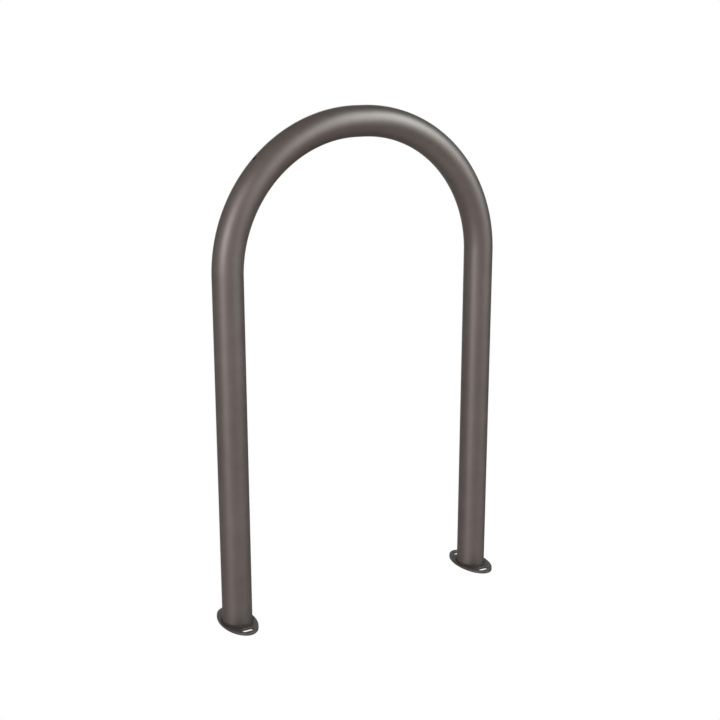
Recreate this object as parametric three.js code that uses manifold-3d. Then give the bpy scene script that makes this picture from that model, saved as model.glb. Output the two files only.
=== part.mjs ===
// Hoop bike rack: one bent steel pipe welded to two elliptical base plates.
// Millimetres, +Z up. The origin is on the ground, midway between the two legs:
// X runs from the left leg to the right leg, Y through the hoop.
import * as THREE from 'three';
import { mergeVertices } from 'three/addons/utils/BufferGeometryUtils.js';
import Module from 'manifold-3d';

// ---- driving dimensions ----------------------------------------------------
const PIPE_OD = 48.26;            // 1 1/2 in nominal pipe
const PIPE_WALL = 3.68;           // schedule 40
const LEG_SPACING = 457.2;        // 18 in, leg axis to leg axis
const BEND_RADIUS = 222.25;       // 8 3/4 in, to the pipe's axis
const OVERALL_HEIGHT = 812.2;     // ground to the top of the crown

const PLATE_LENGTH = 104.8;       // along Y, across the hoop's plane
const PLATE_WIDTH = 56.6;         // along X
const PLATE_THICKNESS = 4.1;
const PLATE_EDGE = 0.5;           // broken edge of the plate and of its slots

const SLOT_LENGTH = 20.7;         // along X, end to end
const SLOT_WIDTH = 10.5;          // along Y
const SLOT_OFFSET = 39.4;         // slot centre to the pipe's axis, along Y
const DRAIN_DIAMETER = 25.4;      // opening in the plate under the pipe's bore

const WELD_LEG = 2.6;             // fillet, up the pipe and out on the plate
const VENT_DIAMETER = 6.35;       // 1/4 in, drilled through the outer wall of the left bend
const VENT_ANGLE = 45;            // degrees round the bend from the horizontal

const FIT_GAP = 0.3;              // air left between faces that touch on the real rack

const AROUND = 36;                // facets round the pipe
const BEND_STEPS = 22;            // rings in each 90 degree bend

// ---- derived dimensions ----------------------------------------------------
const PIPE_R = PIPE_OD / 2;
const BORE_R = PIPE_R - PIPE_WALL;
const LEG_X = LEG_SPACING / 2;
const CROWN_HALF = LEG_X - BEND_RADIUS;                     // half of the short straight on top
const BEND_Z = OVERALL_HEIGHT - PIPE_R - BEND_RADIUS;       // height where the bends start

// ---- helpers ---------------------------------------------------------------
const wasm = await Module();
wasm.setup();

function merged(geometry) {
  const g = geometry.clone();
  g.deleteAttribute('normal');
  g.deleteAttribute('uv');
  return mergeVertices(g, 1e-4);
}

function toSolid(geometry) {
  const g = merged(geometry);
  return new wasm.Manifold(new wasm.Mesh({
    numProp: 3,
    vertProperties: new Float32Array(g.attributes.position.array),
    triVerts: new Uint32Array(g.index.array),
  }));
}

function toGeometry(solid) {
  const m = solid.getMesh();
  const g = new THREE.BufferGeometry();
  g.setAttribute('position', new THREE.BufferAttribute(new Float32Array(m.vertProperties), 3));
  g.setIndex(new THREE.BufferAttribute(new Uint32Array(m.triVerts), 1));
  g.computeVertexNormals();
  return g;
}

function ring(cx, cy, rx, ry, count) {
  const points = [];
  for (let i = 0; i < count; i++) {
    const a = (2 * Math.PI * i) / count;
    points.push(new THREE.Vector2(cx + rx * Math.cos(a), cy + ry * Math.sin(a)));
  }
  return points;
}

function obround(cx, cy, length, width, arcSteps) {
  const r = width / 2;
  const half = length / 2 - r;
  const points = [];
  for (let i = 0; i <= arcSteps; i++) {
    const a = -Math.PI / 2 + (Math.PI * i) / arcSteps;
    points.push(new THREE.Vector2(cx + half + r * Math.cos(a), cy + r * Math.sin(a)));
  }
  for (let i = 0; i <= arcSteps; i++) {
    const a = Math.PI / 2 + (Math.PI * i) / arcSteps;
    points.push(new THREE.Vector2(cx - half + r * Math.cos(a), cy + r * Math.sin(a)));
  }
  return points;
}

// ---- the pipe's axis: leg, bend, short straight, bend, leg -----------------
// Rings stand only where the pipe needs them: none along the straight legs.
class HoopAxis extends THREE.Curve {
  constructor(footZ) {
    super();
    this.stations = [];
    const add = (x, z, tx, tz) => this.stations.push({
      point: new THREE.Vector3(x, 0, z),
      tangent: new THREE.Vector3(tx, 0, tz).normalize(),
    });
    add(-LEG_X, footZ, 0, 1);
    for (let i = 0; i <= BEND_STEPS; i++) {
      const a = Math.PI - (Math.PI / 2) * (i / BEND_STEPS);
      add(-CROWN_HALF + BEND_RADIUS * Math.cos(a), BEND_Z + BEND_RADIUS * Math.sin(a), Math.sin(a), -Math.cos(a));
    }
    for (let i = 0; i <= BEND_STEPS; i++) {
      const a = Math.PI / 2 - (Math.PI / 2) * (i / BEND_STEPS);
      add(CROWN_HALF + BEND_RADIUS * Math.cos(a), BEND_Z + BEND_RADIUS * Math.sin(a), Math.sin(a), -Math.cos(a));
    }
    add(LEG_X, footZ, 0, -1);
    this.steps = this.stations.length - 1;
  }
  station(u) { return this.stations[Math.min(this.steps, Math.max(0, Math.round(u * this.steps)))]; }
  getPoint(t, target = new THREE.Vector3()) { return target.copy(this.station(t).point); }
  getPointAt(u, target = new THREE.Vector3()) { return target.copy(this.station(u).point); }
  getTangent(t, target = new THREE.Vector3()) { return target.copy(this.station(t).tangent); }
  getTangentAt(u, target = new THREE.Vector3()) { return target.copy(this.station(u).tangent); }
}

function hoopTube() {
  const axis = new HoopAxis(PLATE_THICKNESS + FIT_GAP);
  const section = new THREE.Shape(ring(0, 0, PIPE_R, PIPE_R, AROUND));
  section.holes.push(new THREE.Path(ring(0, 0, BORE_R, BORE_R, AROUND).reverse()));
  const pipe = new THREE.ExtrudeGeometry(section, { steps: axis.steps, extrudePath: axis, bevelEnabled: false });

  // vent hole: a short drill through the outer wall only, on the bend's outer line
  const a = Math.PI - THREE.MathUtils.degToRad(VENT_ANGLE);
  const out = new THREE.Vector3(Math.cos(a), 0, Math.sin(a));
  const drill = new THREE.CylinderGeometry(VENT_DIAMETER / 2, VENT_DIAMETER / 2, 16, 20);
  drill.applyQuaternion(new THREE.Quaternion().setFromUnitVectors(new THREE.Vector3(0, 1, 0), out));
  const centre = new THREE.Vector3(-CROWN_HALF, 0, BEND_Z).addScaledVector(out, BEND_RADIUS + PIPE_R - PIPE_WALL / 2);
  drill.translate(centre.x, centre.y, centre.z);
  return toGeometry(toSolid(pipe).subtract(toSolid(drill)));
}

function basePlate() {
  const e = PLATE_EDGE;
  const outline = new THREE.Shape(ring(0, 0, PLATE_WIDTH / 2, PLATE_LENGTH / 2, 72));
  for (const side of [-1, 1]) {
    outline.holes.push(new THREE.Path(obround(0, side * SLOT_OFFSET, SLOT_LENGTH, SLOT_WIDTH, 10).reverse()));
  }
  outline.holes.push(new THREE.Path(ring(0, 0, DRAIN_DIAMETER / 2, DRAIN_DIAMETER / 2, 32).reverse()));
  const g = new THREE.ExtrudeGeometry(outline, {
    depth: PLATE_THICKNESS - 2 * e,
    steps: 1,
    bevelEnabled: true,
    bevelThickness: e,
    bevelSize: e,
    bevelOffset: -e,
    bevelSegments: 1,
  });
  g.translate(0, 0, e);
  return merged(g);
}

function weldBead() {
  // closed fillet section, slightly crowned, turned once round the pipe
  const r0 = PIPE_R + FIT_GAP;
  const bulge = 0.3;
  const profile = [new THREE.Vector2(r0, 0), new THREE.Vector2(r0 + WELD_LEG, 0)];
  for (let i = 1; i < 5; i++) {
    const t = i / 5;
    const b = bulge * Math.sin(Math.PI * t);
    profile.push(new THREE.Vector2(r0 + WELD_LEG * (1 - t) + b * Math.SQRT1_2, WELD_LEG * t + b * Math.SQRT1_2));
  }
  profile.push(new THREE.Vector2(r0, WELD_LEG), new THREE.Vector2(r0, 0));
  const g = new THREE.LatheGeometry(profile, 48);
  g.rotateX(Math.PI / 2);                     // the lathe turns about Y: stand it up on Z
  return merged(g);
}

// ---- assembly --------------------------------------------------------------
const coat = { color: 0x615b56, roughness: 0.52, metalness: 0.15 };
const tubeCoat = new THREE.MeshStandardMaterial({ ...coat, name: 'coated_pipe' });
const plateCoat = new THREE.MeshStandardMaterial({ ...coat, color: 0x565049, roughness: 0.55, name: 'coated_plate' });
const weldCoat = new THREE.MeshStandardMaterial({ ...coat, color: 0x504a44, roughness: 0.6, name: 'coated_weld' });

const rack = new THREE.Group();

const tube = new THREE.Mesh(hoopTube(), tubeCoat);
tube.name = 'hoop_tube';
rack.add(tube);

for (const [label, x] of [['left', -LEG_X], ['right', LEG_X]]) {
  const foot = new THREE.Group();
  foot.position.set(x, 0, 0);

  const plate = new THREE.Mesh(basePlate(), plateCoat);
  plate.name = `base_plate_${label}`;
  foot.add(plate);

  const weld = new THREE.Mesh(weldBead(), weldCoat);
  weld.name = `weld_bead_${label}`;
  weld.position.z = PLATE_THICKNESS + FIT_GAP;
  foot.add(weld);

  rack.add(foot);
}

export default rack;
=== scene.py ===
"""Hoop bike rack: a bent, powder-coated pipe welded to two elliptical base plates.
Metres in the object's own frame: origin on the ground between the legs, +X left to right, +Y through the hoop, +Z up."""
import math

import bmesh
import bpy
import numpy as np
from mathutils import Matrix, Vector
from mathutils.geometry import delaunay_2d_cdt


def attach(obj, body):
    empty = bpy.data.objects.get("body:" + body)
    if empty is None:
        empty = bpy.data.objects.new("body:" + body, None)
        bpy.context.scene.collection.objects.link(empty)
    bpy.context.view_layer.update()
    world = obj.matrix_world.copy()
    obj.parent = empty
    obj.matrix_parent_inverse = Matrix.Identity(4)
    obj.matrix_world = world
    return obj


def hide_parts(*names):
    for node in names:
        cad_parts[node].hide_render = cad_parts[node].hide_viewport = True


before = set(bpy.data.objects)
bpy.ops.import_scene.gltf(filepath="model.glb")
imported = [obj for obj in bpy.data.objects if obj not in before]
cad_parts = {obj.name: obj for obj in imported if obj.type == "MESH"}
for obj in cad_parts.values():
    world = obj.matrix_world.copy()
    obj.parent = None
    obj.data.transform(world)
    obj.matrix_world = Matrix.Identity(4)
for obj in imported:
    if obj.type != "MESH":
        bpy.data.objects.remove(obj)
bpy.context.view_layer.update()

# ---- sizes, in millimetres ---------------------------------------------------
PIPE_R = 24.13
BORE_R = 20.45
BEND_R = 222.25
LEG_X = 228.6
CROWN = LEG_X - BEND_R            # half of the short straight on top
TOP = 812.2
BEND_Z = TOP - PIPE_R - BEND_R
PLATE_A = 52.4                    # half length, along Y
PLATE_B = 28.3                    # half width, along X
PLATE_T = 4.1
SLOT_L = 20.7
SLOT_W = 10.5
SLOT_Y = 39.4
DRAIN_R = 12.7
WELD = 2.6
VENT_R = 3.175
VENT_DEG = 45.0

# ---- camera: stands where the photograph was taken from ----------------------
cam_data = bpy.data.cameras.new("camera")
cam_data.sensor_width = 36.0
cam_data.lens = 1210.49 / 720.0 * 36.0
cam_data.clip_start = 0.05
cam_data.clip_end = 50.0
camera = bpy.data.objects.new("camera", cam_data)
bpy.context.scene.collection.objects.link(camera)
az, el = math.radians(-30.0), math.radians(15.0)
back = Vector((math.sin(az) * math.cos(el), -math.cos(az) * math.cos(el), math.sin(el)))
right = Vector((math.cos(az), math.sin(az), 0.0))
up = back.cross(right)
camera.matrix_world = Matrix(
    (
        (right.x, up.x, back.x, -0.94708),
        (right.y, up.y, back.y, -1.64004),
        (right.z, up.z, back.z, 0.91473),
        (0, 0, 0, 1),
    )
)
bpy.context.scene.camera = camera


# ---- mesh helpers ------------------------------------------------------------
def new_object(name, verts_mm, faces, smooth=True):
    mesh = bpy.data.meshes.new(name)
    mesh.from_pydata([(x * 0.001, y * 0.001, z * 0.001) for x, y, z in verts_mm], [], faces)
    mesh.validate()
    mesh.update()
    for p in mesh.polygons:
        p.use_smooth = smooth
    obj = bpy.data.objects.new(name, mesh)
    bpy.context.scene.collection.objects.link(obj)
    return obj


def face_out(obj, crease_deg=None):
    """All faces point outwards; edges sharper than crease_deg stay crisp."""
    bm = bmesh.new()
    bm.from_mesh(obj.data)
    bmesh.ops.recalc_face_normals(bm, faces=bm.faces)
    if crease_deg:
        for e in bm.edges:
            e.smooth = e.calc_face_angle(0.0) < math.radians(crease_deg)
    bm.to_mesh(obj.data)
    bm.free()
    obj.data.update()


def paint_corner_shade(obj, cx_list):
    """Painted shade in the corner where pipe and plate meet, with the pipe's dark reflection painted on the plate:
    1 in the corner, fading up and outwards.
    It reaches further on the plate's long ledges, before and behind the pipe, and less on its narrow sides."""
    out = []
    for v in obj.data.vertices:
        x, y, z = v.co.x * 1000, v.co.y * 1000, v.co.z * 1000
        cx = min(cx_list, key=lambda c: abs(x - c))
        r, turn = math.hypot(x - cx, y), math.atan2(y, x - cx)
        width = 1 / math.hypot(math.cos(turn) / PLATE_B, math.sin(turn) / PLATE_A) - PIPE_R
        ledge = min(1.0, max(0.0, (width - 4.0) / 14.0))
        if z < 0.5:
            out.append(0.0)
        elif z < PLATE_T + 0.01:
            out.append((0.5 + 0.5 * ledge) * math.exp(-((max(0.0, r - PIPE_R) / (3.0 + 6.5 * ledge)) ** 2.0)))
        else:
            h = z - PLATE_T
            # the painted shade is heavier on the pipe's front-right side, where less light reaches
            shaded_side = 1.0 + 0.2 * math.cos(turn + math.radians(35.0))
            fade = 0.3 * math.exp(-h / 5.0) + 0.90 * math.exp(-((h / 16.0) ** 1.2))
            out.append(min(1.0, (0.7 + 0.3 * ledge) * shaded_side * fade))
    point_value(obj, "corner_shade", out)


def inside(points, loop):
    """Which points lie inside a closed outline (even-odd rule)."""
    p = np.asarray(points, float)
    a = np.asarray(loop, float)
    b = np.roll(a, -1, axis=0)
    hit = np.zeros(len(p), bool)
    for (x0, y0), (x1, y1) in zip(a, b):
        if y0 == y1:
            continue
        spans = (p[:, 1] >= min(y0, y1)) & (p[:, 1] < max(y0, y1))
        hit ^= spans & (p[:, 0] < x0 + (p[:, 1] - y0) * (x1 - x0) / (y1 - y0))
    return hit


def point_value(obj, name, values):
    """A number on each vertex, which the coat's nodes read."""
    att = obj.data.attributes.new(name, "FLOAT", "POINT")
    att.data.foreach_set("value", np.asarray(values, np.float32))


# ---- the pipe ----------------------------------------------------------------
AROUND = 96
HOLE_RING = 3                     # the vent replaces the faces inside this ring of grid points
EASE_RING = 8                     # from here on the grid is square again


def axis_stations():
    """Points along the pipe's axis: (kind, parameter, hole index or None)."""
    out = []
    z0 = PLATE_T + 0.02
    legs = [z0, z0 + 2, z0 + 6, z0 + 12, z0 + 20, z0 + 32]
    z = z0 + 52
    while z < BEND_Z - 15:
        legs.append(z)
        z += 24.0
    for z in legs:
        out.append(("left", z, None))
    # left bend, angle measured from the horizontal; the grid is square round the vent
    step = (2 * math.pi * PIPE_R / AROUND) / (BEND_R + PIPE_R)
    vent = math.radians(VENT_DEG)
    first, last = vent - EASE_RING * step, vent + EASE_RING * step
    n1 = max(1, round(first / math.radians(1.3)))
    for i in range(n1):
        out.append(("bend1", first * i / n1, None))
    for k in range(-EASE_RING, EASE_RING + 1):
        out.append(("bend1", vent + k * step, k))
    n2 = max(1, round((math.pi / 2 - last) / math.radians(1.3)))
    for i in range(1, n2 + 1):
        out.append(("bend1", last + (math.pi / 2 - last) * i / n2, None))
    out.append(("crown", 0.0, None))
    n3 = 68
    for i in range(n3 + 1):
        out.append(("bend2", math.pi / 2 * (1 - i / n3), None))
    for z in reversed(legs):
        out.append(("right", z, None))
    return out


def axis_frame(kind, t):
    """Centre, outward direction in the hoop's plane."""
    if kind == "left":
        return (-LEG_X, t), (-1.0, 0.0)
    if kind == "right":
        return (LEG_X, t), (1.0, 0.0)
    if kind == "crown":
        return (0.0, BEND_Z + BEND_R), (0.0, 1.0)
    c, s = math.cos(t), math.sin(t)
    if kind == "bend1":
        return (-CROWN - BEND_R * c, BEND_Z + BEND_R * s), (-c, s)
    return (CROWN + BEND_R * c, BEND_Z + BEND_R * s), (c, s)


def wall_point(kind, t, phi, rho):
    (cx, cz), (nx, nz) = axis_frame(kind, t)
    c, s = math.cos(phi), math.sin(phi)
    return (cx + rho * c * nx, rho * s, cz + rho * c * nz)


def vent_ring(k, j, ring):
    """Where grid point (k, j) of a square ring goes on a circle: its angle."""
    if abs(k) == ring and abs(j) <= ring:
        a = (math.pi / 4) * (j / ring)
        return a if k > 0 else math.pi - a
    a = math.pi / 2 - (math.pi / 4) * (k / ring)
    return a if j > 0 else -a


def hoop_pipe():
    stations = axis_stations()
    m = len(stations)
    vent = math.radians(VENT_DEG)
    verts, faces, depth = [], [], []
    start = {}

    def skin(rho, mouth_r, tag):
        """One wall of the pipe as a grid, eased into a circle of mouth_r round the vent."""
        base = len(verts)
        start[tag] = base
        for kind, t, k in stations:
            for j in range(AROUND):
                phi = 2 * math.pi * j / AROUND
                tt = t
                jj = j if j <= AROUND // 2 else j - AROUND
                if k is not None and abs(jj) <= EASE_RING:
                    ring = max(abs(k), abs(jj))
                    if HOLE_RING <= ring < EASE_RING:
                        a = vent_ring(k, jj, ring)
                        cell = 2 * math.pi * PIPE_R / AROUND
                        f = (ring - HOLE_RING) / (EASE_RING - HOLE_RING)
                        radius = mouth_r + (EASE_RING * cell * 1.02 - mouth_r) * f ** 1.15
                        along, across = radius * math.cos(a), radius * math.sin(a)
                        phi_c = math.asin(max(-1, min(1, across / rho)))
                        ang_c = math.asin(along / (BEND_R + rho * math.cos(phi_c)))
                        w = (1 - f) ** 0.8
                        phi_g = 2 * math.pi * jj / AROUND
                        phi = phi_g * (1 - w) + phi_c * w
                        tt = t * (1 - w) + (vent + ang_c) * w
                verts.append(wall_point(kind, tt, phi, rho))
                depth.append(0.0 if tag == "outer" else 1.0)
        inside = set()
        for i in range(m - 1):
            ka, kb = stations[i][2], stations[i + 1][2]
            for j in range(AROUND):
                j2 = (j + 1) % AROUND
                if ka is not None and kb is not None:
                    ja = j if j <= AROUND // 2 else j - AROUND
                    jb = ja + 1
                    if max(abs(ka), abs(kb)) <= HOLE_RING and max(abs(ja), abs(jb)) <= HOLE_RING:
                        continue
                a, b = base + i * AROUND + j, base + i * AROUND + j2
                c, d = b + AROUND, a + AROUND
                faces.append((a, b, c, d) if tag == "outer" else (d, c, b, a))

    skin(PIPE_R, VENT_R + 0.30, "outer")
    skin(BORE_R, VENT_R + 0.05, "inner")

    # ends of the pipe
    for i in (0, m - 1):
        for j in range(AROUND):
            j2 = (j + 1) % AROUND
            a, b = start["outer"] + i * AROUND + j, start["outer"] + i * AROUND + j2
            c, d = start["inner"] + i * AROUND + j2, start["inner"] + i * AROUND + j
            faces.append((b, a, d, c) if i == 0 else (a, b, c, d))

    # wall of the vent hole, with a rounded mouth where the coat runs over the edge
    order = []
    for q in range(8 * HOLE_RING):
        a = 2 * math.pi * q / (8 * HOLE_RING) + 1e-9
        best, found = None, None
        for k in range(-HOLE_RING, HOLE_RING + 1):
            for j in range(-HOLE_RING, HOLE_RING + 1):
                if max(abs(k), abs(j)) != HOLE_RING:
                    continue
                b = vent_ring(k, j, HOLE_RING)
                d = abs((a - b + math.pi) % (2 * math.pi) - math.pi)
                if best is None or d < best:
                    best, found = d, (k, j, b)
        order.append(found)
    row_of = {st[2]: i for i, st in enumerate(stations) if st[2] is not None}
    (cx, cz), (nx, nz) = axis_frame("bend1", vent)
    tx, tz = nz, -nx              # along the bend, towards the crown

    def surface_height(along, across, rho):
        phi = math.asin(across / rho)
        big = BEND_R + rho * math.cos(phi)
        ang = math.asin(along / big)
        return big * math.cos(ang) - BEND_R

    loops = [[start["outer"] + row_of[k] * AROUND + (j % AROUND) for k, j, _ in order]]
    for radius, drop in ((VENT_R + 0.18, 0.02), (VENT_R + 0.09, 0.07), (VENT_R + 0.03, 0.15), (VENT_R, 0.28), (VENT_R, 1.6), (VENT_R, 3.1)):
        loop = []
        for k, j, a in order:
            along, across = radius * math.cos(a), radius * math.sin(a)
            h = surface_height(along, across, PIPE_R) - drop
            loop.append(len(verts))
            verts.append((cx + nx * h + tx * along, across, cz + nz * h + tz * along))
            depth.append(min(1.0, drop / 0.25))
        loops.append(loop)
    loops.append([start["inner"] + row_of[k] * AROUND + (j % AROUND) for k, j, _ in order])
    for la, lb in zip(loops[:-1], loops[1:]):
        n = len(la)
        for q in range(n):
            faces.append((la[q], la[(q + 1) % n], lb[(q + 1) % n], lb[q]))

    used = sorted({v for f in faces for v in f})
    remap = {v: i for i, v in enumerate(used)}
    obj = new_object("hoop_pipe", [verts[v] for v in used], [tuple(remap[v] for v in f) for f in faces])
    face_out(obj, 50.0)
    # painted shade down the vent's wall and in the bore, which the coat's nodes read
    point_value(obj, "hole_shade", [depth[v] for v in used])
    # the coat is thin round the vent's mouth
    mouth = {v for loop in loops[:3] for v in loop}
    point_value(obj, "edge", [0.35 if v in mouth else 0.0 for v in used])
    point_value(obj, "cut", [0.0] * len(used))
    return obj


# ---- base plates -------------------------------------------------------------
def ellipse_loop(inset, n=168):
    out = []
    for i in range(n):
        a = 2 * math.pi * i / n
        x, y = PLATE_B * math.cos(a), PLATE_A * math.sin(a)
        nx, ny = math.cos(a) / PLATE_B, math.sin(a) / PLATE_A
        s = math.hypot(nx, ny)
        out.append((x - inset * nx / s, y - inset * ny / s))
    return out


def slot_loop(cy, inset, arc=16, flat=4):
    r, half = SLOT_W / 2 + inset, SLOT_L / 2 - SLOT_W / 2
    out = []
    for i in range(arc + 1):
        a = -math.pi / 2 + math.pi * i / arc
        out.append((half + r * math.cos(a), cy + r * math.sin(a)))
    for i in range(1, flat):
        out.append((half - 2 * half * i / flat, cy + r))
    for i in range(arc + 1):
        a = math.pi / 2 + math.pi * i / arc
        out.append((-half + r * math.cos(a), cy + r * math.sin(a)))
    for i in range(1, flat):
        out.append((-half + 2 * half * i / flat, cy - r))
    return out


def circle_loop(radius, n=64):
    return [(radius * math.cos(2 * math.pi * i / n), radius * math.sin(2 * math.pi * i / n)) for i in range(n)]


# from the top face, round the edge, down the cut side and under: (inset, height)
EDGE = [(0.75, 0.0), (0.46, -0.035), (0.24, -0.13), (0.09, -0.29), (0.015, -0.5), (0.0, -0.75)]
UNDER = [(0.0, 0.45), (0.03, 0.24), (0.12, 0.09), (0.28, 0.015), (0.45, 0.0)]
# how far the coat rounds the rim and, sharper, the punched openings
RIM, CUT = 0.65, 0.45


def base_plate(name, cx):
    profile = [(i, PLATE_T + dz) for i, dz in EDGE] + [(0.0, PLATE_T * 0.5)] + [(i, z) for i, z in UNDER]
    wear = [0.15, 0.55, 1.0, 1.0, 0.6, 0.25, 0.1, 0.25, 0.6, 0.8, 0.5, 0.1]
    makers = [
        lambda inset: ellipse_loop(inset),
        lambda inset: slot_loop(-SLOT_Y, inset),
        lambda inset: slot_loop(SLOT_Y, inset),
        lambda inset: circle_loop(DRAIN_R + inset),
    ]
    verts, faces, edge = [], [], []
    rims = {"top": [], "under": []}
    for make in makers:
        rows = []
        sharp = RIM if make is makers[0] else CUT
        for (inset, z), w in zip(profile, wear):
            row = []
            inset *= sharp
            if z > PLATE_T - 0.76:
                z = PLATE_T + (z - PLATE_T) * sharp
            elif z < 0.46:
                z *= sharp
            for x, y in make(inset):
                row.append(len(verts))
                verts.append((cx + x, y, z))
                edge.append(w)
            rows.append(row)
        for ra, rb in zip(rows[:-1], rows[1:]):
            n = len(ra)
            for q in range(n):
                faces.append((ra[q], rb[q], rb[(q + 1) % n], ra[(q + 1) % n]))
        rims["top"].append(rows[0])
        rims["under"].append(rows[-1])

    for side, z in (("top", PLATE_T), ("under", 0.0)):
        loops = rims[side]
        ids = [v for loop in loops for v in loop]
        pts = [Vector((verts[v][0] - cx, verts[v][1])) for v in ids]
        edges, at = [], 0
        for loop in loops:
            n = len(loop)
            edges += [(at + q, at + (q + 1) % n) for q in range(n)]
            at += n
        # a few rings of inner points, so that the flat face isn't all slivers
        extra = []
        for gx in np.arange(-26, 26.1, 3.2):
            for gy in np.arange(-50, 50.1, 3.2):
                if (gx / (PLATE_B - 2.6)) ** 2 + (gy / (PLATE_A - 2.6)) ** 2 > 1:
                    continue
                if math.hypot(gx, gy) < DRAIN_R + 2.4:
                    continue
                dx = max(0.0, abs(gx) - (SLOT_L - SLOT_W) / 2)
                if math.hypot(dx, abs(gy) - SLOT_Y) < SLOT_W / 2 + 2.2:
                    continue
                extra.append(Vector((gx, gy)))
        out = delaunay_2d_cdt(pts + extra, edges, [], 0, 1e-6)
        where = []
        for i, p in enumerate(out[0]):
            src = [s for s in out[3][i] if s < len(ids)]
            if src:
                where.append(ids[src[0]])
            else:
                where.append(len(verts))
                verts.append((cx + p[0], p[1], z))
                edge.append(0.0)
        flat = np.array([(p[0], p[1]) for p in out[0]])
        tris = np.array(out[2])
        centres = flat[tris].mean(1)
        outlines = [[(verts[v][0] - cx, verts[v][1]) for v in loop] for loop in loops]
        keep = inside(centres, outlines[0])
        for outline in outlines[1:]:
            keep &= ~inside(centres, outline)
        for tri in tris[keep]:
            t = tuple(where[i] for i in tri)
            faces.append(t if side == "top" else t[::-1])
    obj = new_object(name, verts, faces)
    face_out(obj)
    point_value(obj, "edge", edge)
    point_value(obj, "hole_shade", [0.0] * len(verts))
    point_value(obj, "cut", [1.0 if 0.2 < v[2] < PLATE_T - 0.3 else 0.0 for v in verts])
    weighted = obj.modifiers.new("weighted", "WEIGHTED_NORMAL")
    weighted.mode = "FACE_AREA"
    weighted.weight = 60
    return obj


# ---- weld beads --------------------------------------------------------------
def weld_bead(name, cx, phase, start_deg):
    around, across = 640, 14
    verts, faces, edge = [], [], []
    for i in range(around):
        a = 2 * math.pi * i / around
        # leg lengths wander as a hand-held torch does
        wander = 0.5 * math.sin(3 * a + phase) + 0.3 * math.sin(7 * a + 1.7 * phase) + 0.2 * math.sin(13 * a + 0.6 * phase)
        out_leg = WELD + 0.14 * wander
        up_leg = WELD - 0.16 * wander
        # a slight lump where the run starts and ends
        d = (a - math.radians(start_deg) + math.pi) % (2 * math.pi) - math.pi
        lump = 0.35 * math.exp(-((d / 0.11) ** 2))
        arc = a * (PIPE_R + 1.5)
        row = []
        for j in range(across + 1):
            t = j / across            # 0 on the pipe, 1 on the plate
            r = (PIPE_R - 0.12) + (out_leg + 0.12) * t
            z = PLATE_T - 0.06 + (up_leg + 0.06) * (1 - t)
            # frozen ripples: shallow scales, bowed back at the toes
            u = arc / 2.1 + 0.45 * (2 * t - 1) ** 2 + 0.12 * math.sin(5 * a + phase)
            scale = 1 - (2 * (u - math.floor(u)) - 1) ** 2
            ripple = 0.15 * scale * math.sin(math.pi * t) ** 0.7
            b = (lump - 0.14) * math.sin(math.pi * t) + ripple
            row.append(len(verts))
            verts.append((cx + (r + 0.7 * b) * math.cos(a), (r + 0.7 * b) * math.sin(a), z + 0.7 * b))
            edge.append(0.7 * scale ** 2 * math.sin(math.pi * t))
        # buried root, inside the pipe's wall and the plate
        for r, z in ((PIPE_R + out_leg - 0.35, PLATE_T - 0.7), (PIPE_R - 0.7, PLATE_T - 0.7), (PIPE_R - 0.7, PLATE_T + up_leg - 0.35)):
            row.append(len(verts))
            verts.append((cx + r * math.cos(a), r * math.sin(a), z))
            edge.append(0.0)
        if i:
            n = len(row)
            for q in range(n):
                faces.append((prev[q], row[q], row[(q + 1) % n], prev[(q + 1) % n]))
        else:
            first = row
        prev = row
    n = len(first)
    for q in range(n):
        faces.append((prev[q], first[q], first[(q + 1) % n], prev[(q + 1) % n]))
    obj = new_object(name, verts, faces)
    face_out(obj, 60.0)
    point_value(obj, "edge", edge)
    point_value(obj, "hole_shade", [0.0] * len(verts))
    point_value(obj, "cut", [0.0] * len(verts))
    return obj


pipe = hoop_pipe()
plates = [base_plate("foot_plate_left", -LEG_X), base_plate("foot_plate_right", LEG_X)]
welds = [weld_bead("weld_run_left", -LEG_X, 0.4, 118.0), weld_bead("weld_run_right", LEG_X, 2.3, 62.0)]

# ---- materials ---------------------------------------------------------------
COAT = (0.0550, 0.0453, 0.0428)
# painted shade in the corner at each foot, on pipe, plates and welds
for obj in (pipe, *plates, *welds):
    paint_corner_shade(obj, (-LEG_X, LEG_X))


def node(tree, kind, **settings):
    n = tree.nodes.new(kind)
    for key, value in settings.items():
        setattr(n, key, value)
    return n


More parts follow.
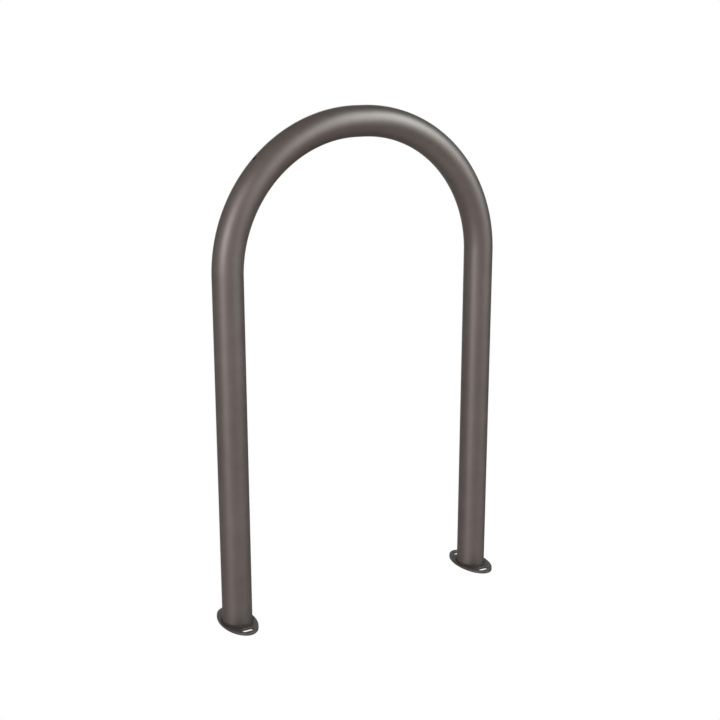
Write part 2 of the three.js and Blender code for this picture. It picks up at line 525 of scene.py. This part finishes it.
def coat_material(name, colour, roughness, ior=1.8, orange=1.0, edge_light=0.35):
    """Semi-matte bronze-grey powder coat: flow-out dimples, fine tooth, faint mottle, thinner coat on edges."""
    mat = bpy.data.materials.new(name)
    mat.use_nodes = True
    tree = mat.node_tree
    tree.nodes.clear()
    link = tree.links.new
    out = node(tree, "ShaderNodeOutputMaterial")
    bsdf = node(tree, "ShaderNodeBsdfPrincipled")
    link(bsdf.outputs["BSDF"], out.inputs["Surface"])
    bsdf.inputs["IOR"].default_value = ior
    bsdf.inputs["Metallic"].default_value = 0.0

    coords = node(tree, "ShaderNodeTexCoord")

    def noise(scale, detail=2.0, rough=0.5):
        n = node(tree, "ShaderNodeTexNoise")
        n.inputs["Scale"].default_value = scale
        n.inputs["Detail"].default_value = detail
        n.inputs["Roughness"].default_value = rough
        link(coords.outputs["Object"], n.inputs["Vector"])
        return n.outputs["Fac"]

    def math_node(op, a, b=None, c=None, clamp=False):
        n = node(tree, "ShaderNodeMath", operation=op, use_clamp=clamp)
        for socket, value in zip(n.inputs, (a, b, c)):
            if value is None:
                continue
            if isinstance(value, (int, float)):
                socket.default_value = value
            else:
                link(value, socket)
        return n.outputs[0]

    def mix(fac, a, b):
        n = node(tree, "ShaderNodeMix", data_type="RGBA", blend_type="MIX")
        if isinstance(fac, (int, float)):
            n.inputs["Factor"].default_value = fac
        else:
            link(fac, n.inputs["Factor"])
        for socket, value in ((n.inputs[6], a), (n.inputs[7], b)):
            if isinstance(value, tuple):
                socket.default_value = (*value, 1.0)
            else:
                link(value, socket)
        return n.outputs[2]

    mottle = noise(14.0, 3.0, 0.55)          # 70 mm drift in the coat's thickness
    cloud = noise(70.0, 2.0, 0.5)            # 14 mm clouds
    dimple = noise(620.0, 1.0, 0.4)          # 1.6 mm flow-out dimples
    tooth = noise(2600.0, 2.0, 0.6)          # 0.4 mm tooth of the powder
    speck = node(tree, "ShaderNodeTexVoronoi", feature="F1")
    speck.inputs["Scale"].default_value = 900.0
    link(coords.outputs["Object"], speck.inputs["Vector"])

    dark = tuple(c * 0.86 for c in colour)
    light = tuple(c * 1.13 for c in colour)
    drift = math_node("MULTIPLY_ADD", mottle, 0.55, math_node("MULTIPLY", cloud, 0.45))
    ramp = node(tree, "ShaderNodeMapRange")
    link(drift, ramp.inputs["Value"])
    ramp.inputs["From Min"].default_value = 0.36
    ramp.inputs["From Max"].default_value = 0.64
    base = mix(ramp.outputs["Result"], dark, light)
    # pale pigment specks, far apart and small
    spot = node(tree, "ShaderNodeMapRange")
    link(speck.outputs["Distance"], spot.inputs["Value"])
    spot.inputs["From Min"].default_value = 0.10
    spot.inputs["From Max"].default_value = 0.22
    spot.inputs["To Min"].default_value = 0.22
    spot.inputs["To Max"].default_value = 0.0
    base = mix(spot.outputs["Result"], base, tuple(min(1.0, c * 1.9) for c in colour))
    # the coat pulls thin over sharp edges and shows a paler line
    edge = node(tree, "ShaderNodeAttribute", attribute_name="edge")
    worn = math_node("MULTIPLY", edge.outputs["Fac"], math_node("MULTIPLY_ADD", cloud, 1.2, -0.1, clamp=True))
    worn = math_node("MULTIPLY", worn, edge_light)
    base = mix(worn, base, (colour[0] * 2.1, colour[1] * 2.15, colour[2] * 2.2))
    # painted shade in the corner at the foot, mottled by the clouds
    corner_shade = node(tree, "ShaderNodeAttribute", attribute_name="corner_shade")
    painted_shade = math_node("MULTIPLY", corner_shade.outputs["Fac"], math_node("MULTIPLY_ADD", cloud, 0.9, 0.35, clamp=True))
    base = mix(math_node("MULTIPLY", painted_shade, 0.95), base, tuple(c * 0.18 for c in colour))
    # near-black down the vent's wall and in the bore: painted shade inside the hole
    hole_shade = node(tree, "ShaderNodeAttribute", attribute_name="hole_shade")
    base = mix(math_node("MULTIPLY", hole_shade.outputs["Fac"], 0.97), base, (0.012, 0.010, 0.009))
    link(base, bsdf.inputs["Base Color"])

    rough = math_node("MULTIPLY_ADD", dimple, 0.05, roughness - 0.025)
    rough = math_node("MULTIPLY_ADD", mottle, 0.05, math_node("SUBTRACT", rough, 0.025))
    rough = math_node("MULTIPLY_ADD", worn, -0.12, rough)
    rough = math_node("MULTIPLY_ADD", painted_shade, 0.22, rough)
    rough = math_node("MULTIPLY_ADD", hole_shade.outputs["Fac"], 0.25, rough, clamp=True)
    link(rough, bsdf.inputs["Roughness"])

    height = math_node("MULTIPLY_ADD", dimple, 0.75 * orange, math_node("MULTIPLY", tooth, 0.25))
    # upright drag lines of the cutter, under the coat on the plates' cut sides
    squash = node(tree, "ShaderNodeMapping")
    squash.inputs["Scale"].default_value = (1.0, 1.0, 0.05)
    link(coords.outputs["Object"], squash.inputs["Vector"])
    drag = node(tree, "ShaderNodeTexNoise")
    drag.inputs["Scale"].default_value = 1500.0
    drag.inputs["Detail"].default_value = 1.0
    link(squash.outputs["Vector"], drag.inputs["Vector"])
    cut = node(tree, "ShaderNodeAttribute", attribute_name="cut")
    height = math_node("MULTIPLY_ADD", math_node("MULTIPLY", drag.outputs["Fac"], cut.outputs["Fac"]), 1.2, height)
    bump = node(tree, "ShaderNodeBump")
    bump.inputs["Strength"].default_value = 0.46
    bump.inputs["Distance"].default_value = 0.00012
    link(height, bump.inputs["Height"])
    link(bump.outputs["Normal"], bsdf.inputs["Normal"])
    return mat


pipe_coat = coat_material("coat_pipe", COAT, 0.38)
# the plates' colour is the pipe's coat made darker: painted shade over the plates
plate_coat = coat_material("coat_plate", (0.0345, 0.0312, 0.0298), 0.34, orange=1.1, edge_light=0.30)
# powder coats an inside corner thin and dry, so the weld is matter; its darker colour is painted shade in the
# corner
weld_coat = coat_material("coat_weld", tuple(c * 0.74 for c in COAT), 0.58, ior=1.42, orange=1.2, edge_light=0.4)

for obj, mat, slot_name, cad in (
    (pipe, pipe_coat, "coated_pipe", "hoop_tube"),
    (plates[0], plate_coat, "coated_plate", "base_plate_left"),
    (plates[1], plate_coat, "coated_plate", "base_plate_right"),
    (welds[0], weld_coat, "coated_weld", "weld_bead_left"),
    (welds[1], weld_coat, "coated_weld", "weld_bead_right"),
):
    obj.data.materials.append(mat)
    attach(obj, "root")
    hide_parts(cad)

# ---- stage -------------------------------------------------------------------
floor_mesh = bpy.data.meshes.new("floor")
bm = bmesh.new()
bmesh.ops.create_grid(bm, x_segments=2, y_segments=2, size=6.0)
bm.to_mesh(floor_mesh)
bm.free()
floor = bpy.data.objects.new("floor", floor_mesh)
floor.location.z = -0.0004
bpy.context.scene.collection.objects.link(floor)
floor_mat = bpy.data.materials.new("pale_floor")
floor_mat.use_nodes = True
ft = floor_mat.node_tree
ft.nodes.clear()
f_out = ft.nodes.new("ShaderNodeOutputMaterial")
f_emit = ft.nodes.new("ShaderNodeEmission")
f_emit.inputs["Color"].default_value = (1.0, 1.0, 1.0, 1.0)
f_emit.inputs["Strength"].default_value = 1.0
ft.links.new(f_emit.outputs[0], f_out.inputs["Surface"])
floor_mesh.materials.append(floor_mat)
floor.visible_diffuse = False
floor.visible_glossy = False
floor.visible_shadow = False


# ---- world: white to the eye, a dim room with a few soft lights to the object --
# (azimuth, elevation, tightness, strength, colour): azimuth 0 stands before the hoop, +90 to its right
KEY = (0.955, 1.017, 0.968)
WARM = (1.095, 0.978, 0.942)
FAR = (1.02, 1.003, 0.91)
SOFT_LIGHTS = [
    (55.0, 36.3, 22.0, 6.21, KEY),        # tall soft light on the right, upper half
    (50.8, 15.6, 22.0, 2.90, KEY),        # and lower half
    (28.5, 21.9, 9.8, 2.57, WARM),        # its spill towards the front
    (-63.0, 10.1, 14.4, 5.28, WARM),      # soft light low on the left
    (-22.5, -0.6, 22.0, 0.65, WARM),      # the bright end of the room, behind the camera
    (-107.2, 19.4, 3.0, 0.48, FAR),       # the room on the left
    (154.2, 1.5, 22.0, 1.84, FAR),        # backdrop, low behind on the right
    (-18.8, -59.6, 4.4, 0.68, WARM),      # light thrown back up by the floor
    (174.3, -32.3, 12.1, 0.22, FAR),      # the same, behind
]
ROOM = 0.068

world = bpy.data.worlds.new("studio")
bpy.context.scene.world = world
world.use_nodes = True
wt = world.node_tree
wt.nodes.clear()
w_out = wt.nodes.new("ShaderNodeOutputWorld")
w_mix = wt.nodes.new("ShaderNodeMixShader")
w_path = wt.nodes.new("ShaderNodeLightPath")
w_white = wt.nodes.new("ShaderNodeBackground")
w_white.inputs["Color"].default_value = (1, 1, 1, 1)
w_white.inputs["Strength"].default_value = 1.0
w_room = wt.nodes.new("ShaderNodeBackground")
w_room.inputs["Strength"].default_value = 1.0
w_coord = wt.nodes.new("ShaderNodeTexCoord")


def world_vector(op, a, b):
    n = wt.nodes.new("ShaderNodeVectorMath")
    n.operation = op
    for socket, value in zip(n.inputs, (a, b)):
        if isinstance(value, (tuple, Vector)):
            socket.default_value = value
        else:
            wt.links.new(value, socket)
    return n


total = (ROOM * FAR[0], ROOM * FAR[1], ROOM * FAR[2])
for azimuth, elevation, tightness, strength, colour in SOFT_LIGHTS:
    a, e = math.radians(azimuth), math.radians(elevation)
    towards = Vector((math.sin(a) * math.cos(e), -math.cos(a) * math.cos(e), math.sin(e)))
    facing = world_vector("DOT_PRODUCT", w_coord.outputs["Generated"], towards)
    fall = wt.nodes.new("ShaderNodeMath")
    fall.operation = "MULTIPLY_ADD"
    fall.inputs[1].default_value = tightness
    fall.inputs[2].default_value = -tightness
    wt.links.new(facing.outputs["Value"], fall.inputs[0])
    glow = wt.nodes.new("ShaderNodeMath")
    glow.operation = "EXPONENT"
    wt.links.new(fall.outputs[0], glow.inputs[0])
    lit = wt.nodes.new("ShaderNodeVectorMath")
    lit.operation = "SCALE"
    lit.inputs[0].default_value = tuple(strength * c for c in colour)
    wt.links.new(glow.outputs[0], lit.inputs["Scale"])
    total = world_vector("ADD", lit.outputs[0], total).outputs[0]
wt.links.new(total, w_room.inputs["Color"])
wt.links.new(w_path.outputs["Is Camera Ray"], w_mix.inputs["Fac"])
wt.links.new(w_room.outputs[0], w_mix.inputs[1])
wt.links.new(w_white.outputs[0], w_mix.inputs[2])
wt.links.new(w_mix.outputs[0], w_out.inputs["Surface"])

bpy.context.scene.view_settings.view_transform = "Standard"
bpy.context.scene.view_settings.look = "None"
